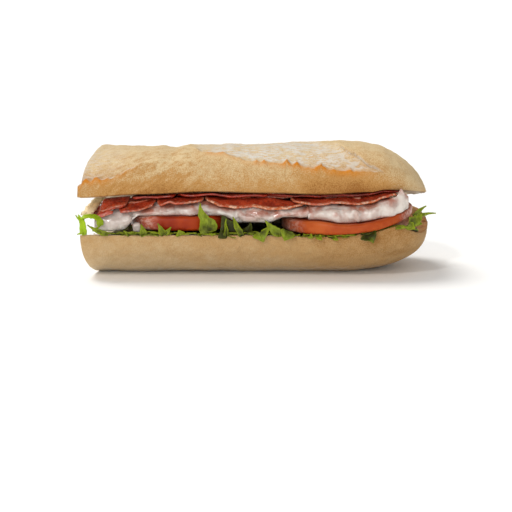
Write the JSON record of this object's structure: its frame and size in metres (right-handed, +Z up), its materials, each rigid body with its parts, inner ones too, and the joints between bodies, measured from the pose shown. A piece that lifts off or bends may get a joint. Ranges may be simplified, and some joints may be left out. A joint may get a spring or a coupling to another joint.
{
  "type": "submarine sandwich half",
  "caption": "Half of a baguette sandwich, cut across at one end, its two breads open along one side on lettuce, tomato, soft white cheese and salami.",
  "frame": {"origin": "on the surface it lies on, at the middle of the flat underside of the lower bread", "axes": "+X along the loaf from the cut end to the baked tip, -Y out of the open side, +Z up"},
  "size_m": [0.1388, 0.0702, 0.0513],
  "materials": {
    "bread": "baked crust, golden, dry and finely wrinkled, with a pale open crumb where cut",
    "tomato": "wet orange-red flesh with a smooth skin",
    "cheese": "moist creamy white, lumpy",
    "salami": "dark red cured meat with pale fat flecks and a paler rim",
    "lettuce": "fresh yellow-green leaf, thin, with fine veins"
  },
  "bodies": {
    "root": {"bread_bottom": "bread", "bread_top": "bread", "tomato_left": "tomato", "tomato_right": "tomato", "cheese_left": "cheese", "cheese_right": "cheese", "salami_lower_1": "salami", "salami_lower_2": "salami", "salami_lower_3": "salami", "salami_lower_4": "salami", "salami_lower_5": "salami", "salami_upper_1": "salami", "salami_upper_2": "salami", "salami_upper_3": "salami", "lettuce_left": "lettuce", "lettuce_middle": "lettuce", "lettuce_right": "lettuce", "lettuce_arch": "lettuce"}
  },
  "joints": []
}
